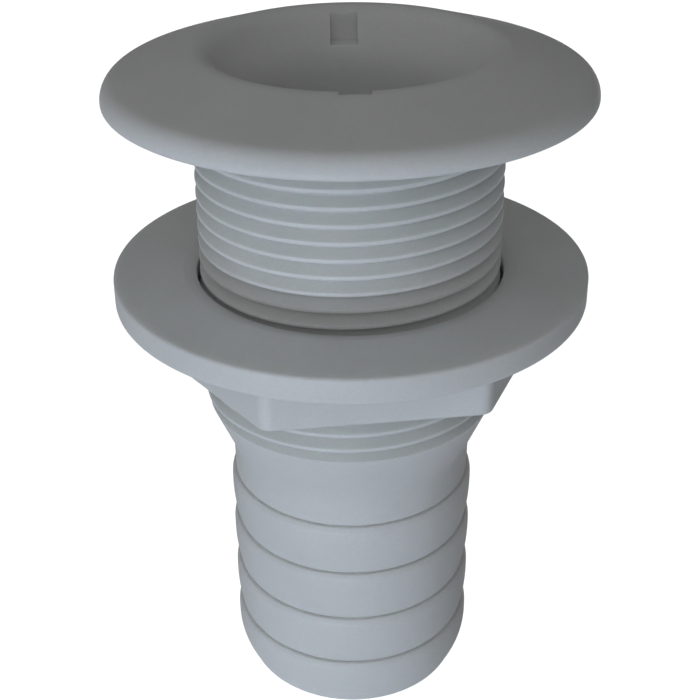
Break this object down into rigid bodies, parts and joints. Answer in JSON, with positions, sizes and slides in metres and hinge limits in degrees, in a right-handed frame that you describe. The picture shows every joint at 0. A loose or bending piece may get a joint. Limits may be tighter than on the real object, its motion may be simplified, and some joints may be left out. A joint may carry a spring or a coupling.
{
  "type": "thru hull fitting",
  "caption": "Mushroom-head thru hull fitting with a threaded barrel, a loose backing washer and hex nut, and a barbed hose tail.",
  "frame": {"origin": "on the waterway's axis, in the flat underside of the mushroom flange that seats on the outside of the hull", "axes": "+Z along the waterway from the hose tail towards the mushroom flange; +X and +Y are across the fitting, with the two wrench slots close to the Y axis"},
  "size_m": [0.0656, 0.0656, 0.0974],
  "materials": {
    "fitting_plastic": "white moulded plastic with a fine, even sheen",
    "washer_plastic": "white moulded plastic with a fine, even sheen",
    "nut_plastic": "white moulded plastic with a fine, even sheen"
  },
  "bodies": {
    "fitting": {"hull_fitting": "fitting_plastic"},
    "washer": {"backing_washer": "washer_plastic"},
    "nut": {"hex_nut": "nut_plastic"}
  },
  "joints": [
    {"name": "washer_travel", "type": "slide", "parent": "fitting", "child": "washer", "axis": [0, 0, 1], "range_m": [-0.00834, 0.02448]},
    {"name": "nut_turn", "type": "hinge", "parent": "washer", "child": "nut", "pos_m": [0, 0, -0.03219], "axis": [0, 0, 1], "range_deg": [-1300, 3816]}
  ],
  "couplings": [
    {"joint": "washer_travel", "follows": "nut_turn", "m_per_rad": 0.0003675}
  ]
}
